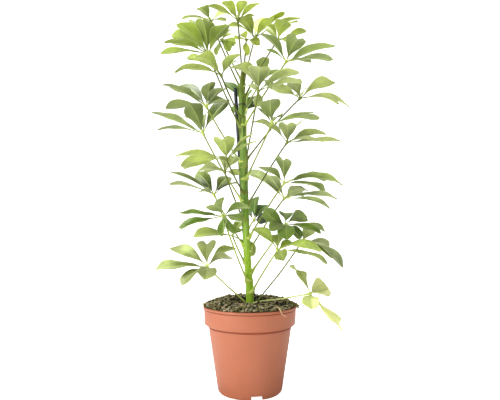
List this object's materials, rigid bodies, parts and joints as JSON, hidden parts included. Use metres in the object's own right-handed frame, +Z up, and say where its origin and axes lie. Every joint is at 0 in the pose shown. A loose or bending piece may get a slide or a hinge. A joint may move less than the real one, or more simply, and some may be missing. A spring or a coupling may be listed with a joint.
{
  "type": "potted umbrella plant",
  "caption": "Umbrella plant with glossy whorled leaflets on a green stem tied to a black cane, in a terracotta-coloured plastic nursery pot filled with dark potting soil",
  "frame": {"origin": "middle of the pot's foot, on the surface that it stands on", "axes": "+Z up along the stem, -Y towards the viewer of the picture, +X to their right"},
  "size_m": [0.2808, 0.2372, 0.5528],
  "materials": {
    "pot_plastic": "matte terracotta-coloured moulded plastic",
    "potting_soil": "dark crumbly potting soil with pale fragments",
    "tie_band": "thin dark plastic band",
    "stem_green": "smooth green stem with ring scars",
    "cane_coating": "satin black coating",
    "foliage": "glossy leathery green leaf with a pale midrib",
    "foliage_young": "soft glossy yellow-green young leaf"
  },
  "bodies": {
    "root": {"pot": "pot_plastic", "soil": "potting_soil", "tie": "tie_band", "stem": "stem_green", "support_cane": "cane_coating", "leaf_01": "foliage_young", "leaf_02": "foliage_young", "leaf_03": "foliage_young", "leaf_04": "foliage_young", "leaf_05": "foliage_young", "leaf_06": "foliage_young", "leaf_07": "foliage", "leaf_08": "foliage", "leaf_09": "foliage", "leaf_10": "foliage", "leaf_11": "foliage", "leaf_12": "foliage", "leaf_13": "foliage", "leaf_14": "foliage", "leaf_15": "foliage", "leaf_16": "foliage", "leaf_17": "foliage", "leaf_18": "foliage", "leaf_19": "foliage", "leaf_20": "foliage", "leaf_21": "foliage", "leaf_22": "foliage", "leaf_23": "foliage", "leaf_24": "foliage", "leaf_25": "foliage", "leaf_26": "foliage", "leaf_27": "foliage", "leaf_28": "foliage", "leaf_29": "foliage_young", "leaf_30": "foliage_young"}
  },
  "joints": []
}
